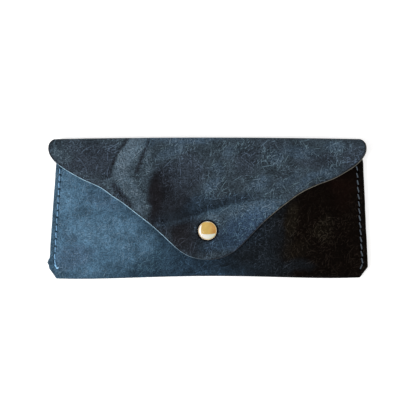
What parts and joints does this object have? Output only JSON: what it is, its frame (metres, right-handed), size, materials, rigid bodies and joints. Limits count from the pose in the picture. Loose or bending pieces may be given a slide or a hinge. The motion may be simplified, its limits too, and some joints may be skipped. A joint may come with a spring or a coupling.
{
  "type": "soft pouch glasses case",
  "caption": "Soft leather pouch for glasses: a folded hide sewn up both sides, with a wavy pointed flap held by a domed snap.",
  "frame": {"origin": "centre of the back panel's resting face, under the middle of the whole case", "axes": "+X across the width, +Y towards the fold above the flap, +Z out of the front; the case lies on its back"},
  "size_m": [0.1714, 0.075, 0.015],
  "materials": {
    "hide": "waxy pull-up navy with fine fibre marks",
    "thread_light_blue": "waxed, twisted",
    "thread_slate": "waxed, twisted",
    "polished_nickel": "mirror polished",
    "snap_steel": "plated, satin"
  },
  "bodies": {
    "pouch": {"back_panel": "hide", "front_panel": "hide", "left_seam_thread": "thread_light_blue", "right_seam_thread": "thread_slate", "snap_stud": "snap_steel", "snap_post": "snap_steel"},
    "fold": {"fold_spine": "hide"},
    "flap": {"flap_panel": "hide", "snap_cap": "polished_nickel", "snap_socket": "snap_steel", "snap_ring_spring": "snap_steel"}
  },
  "joints": [
    {"name": "lower_crease", "type": "hinge", "parent": "pouch", "child": "fold", "pos_m": [0, 0.0363, 0.0007], "axis": [-1, 0, 0], "range_deg": [0, 87]},
    {"name": "upper_crease", "type": "hinge", "parent": "fold", "child": "flap", "pos_m": [0, 0.0363, 0.0067], "axis": [-1, 0, 0], "range_deg": [0, 87]}
  ],
  "couplings": [
    {"joint": "upper_crease", "follows": "lower_crease", "ratio": 1}
  ]
}
